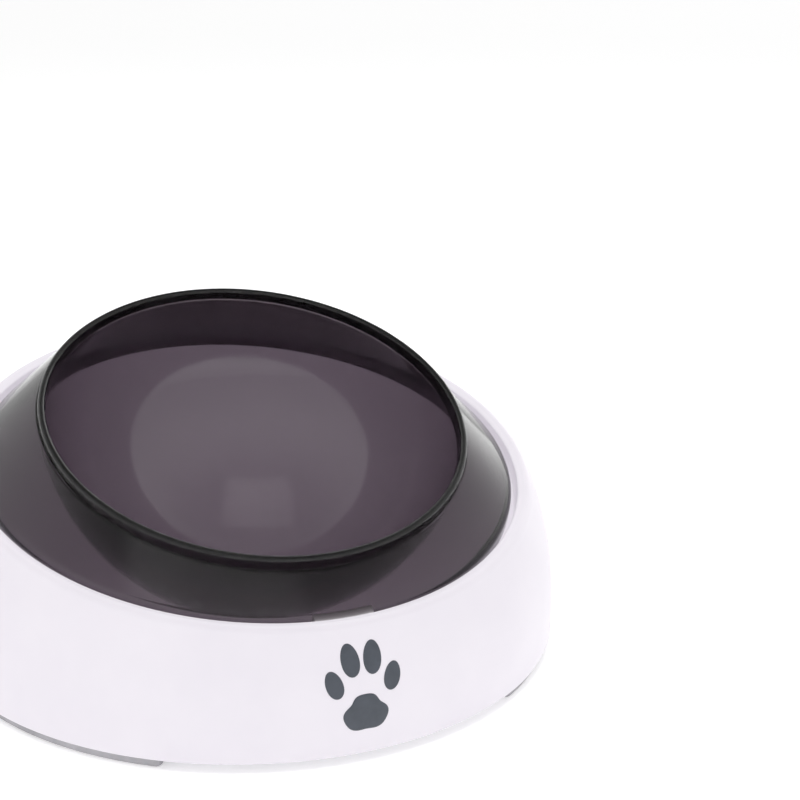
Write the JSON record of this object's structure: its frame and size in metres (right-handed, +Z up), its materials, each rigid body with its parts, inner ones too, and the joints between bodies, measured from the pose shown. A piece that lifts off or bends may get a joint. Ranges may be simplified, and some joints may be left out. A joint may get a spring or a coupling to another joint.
{
  "type": "tilted pet bowl",
  "caption": "Raised round pet bowl with a slanted rim, and a see-through dish with a sloping flange that lifts out of it.",
  "frame": {"origin": "middle of the circle that the pads stand on, at the surface they stand on", "axes": "+Z up; -Y to the front, the low side of the rim; +X to the right seen from the front"},
  "size_m": [0.1814, 0.1814, 0.091],
  "materials": {
    "white_plastic": "satin",
    "cover_plastic": "satin",
    "smoke_plastic": "gloss, see-through smoke tint",
    "pad_rubber": "matte"
  },
  "bodies": {
    "base": {"outer_bowl": "white_plastic", "base_cover": "cover_plastic", "foot_pad_left": "pad_rubber", "foot_pad_right": "pad_rubber", "foot_pad_back": "pad_rubber"},
    "bowl": {"food_bowl": "smoke_plastic"}
  },
  "joints": [
    {"name": "bowl_lift", "type": "slide", "parent": "base", "child": "bowl", "axis": [0, 0, 1], "range_m": [0, 0.0675]}
  ]
}
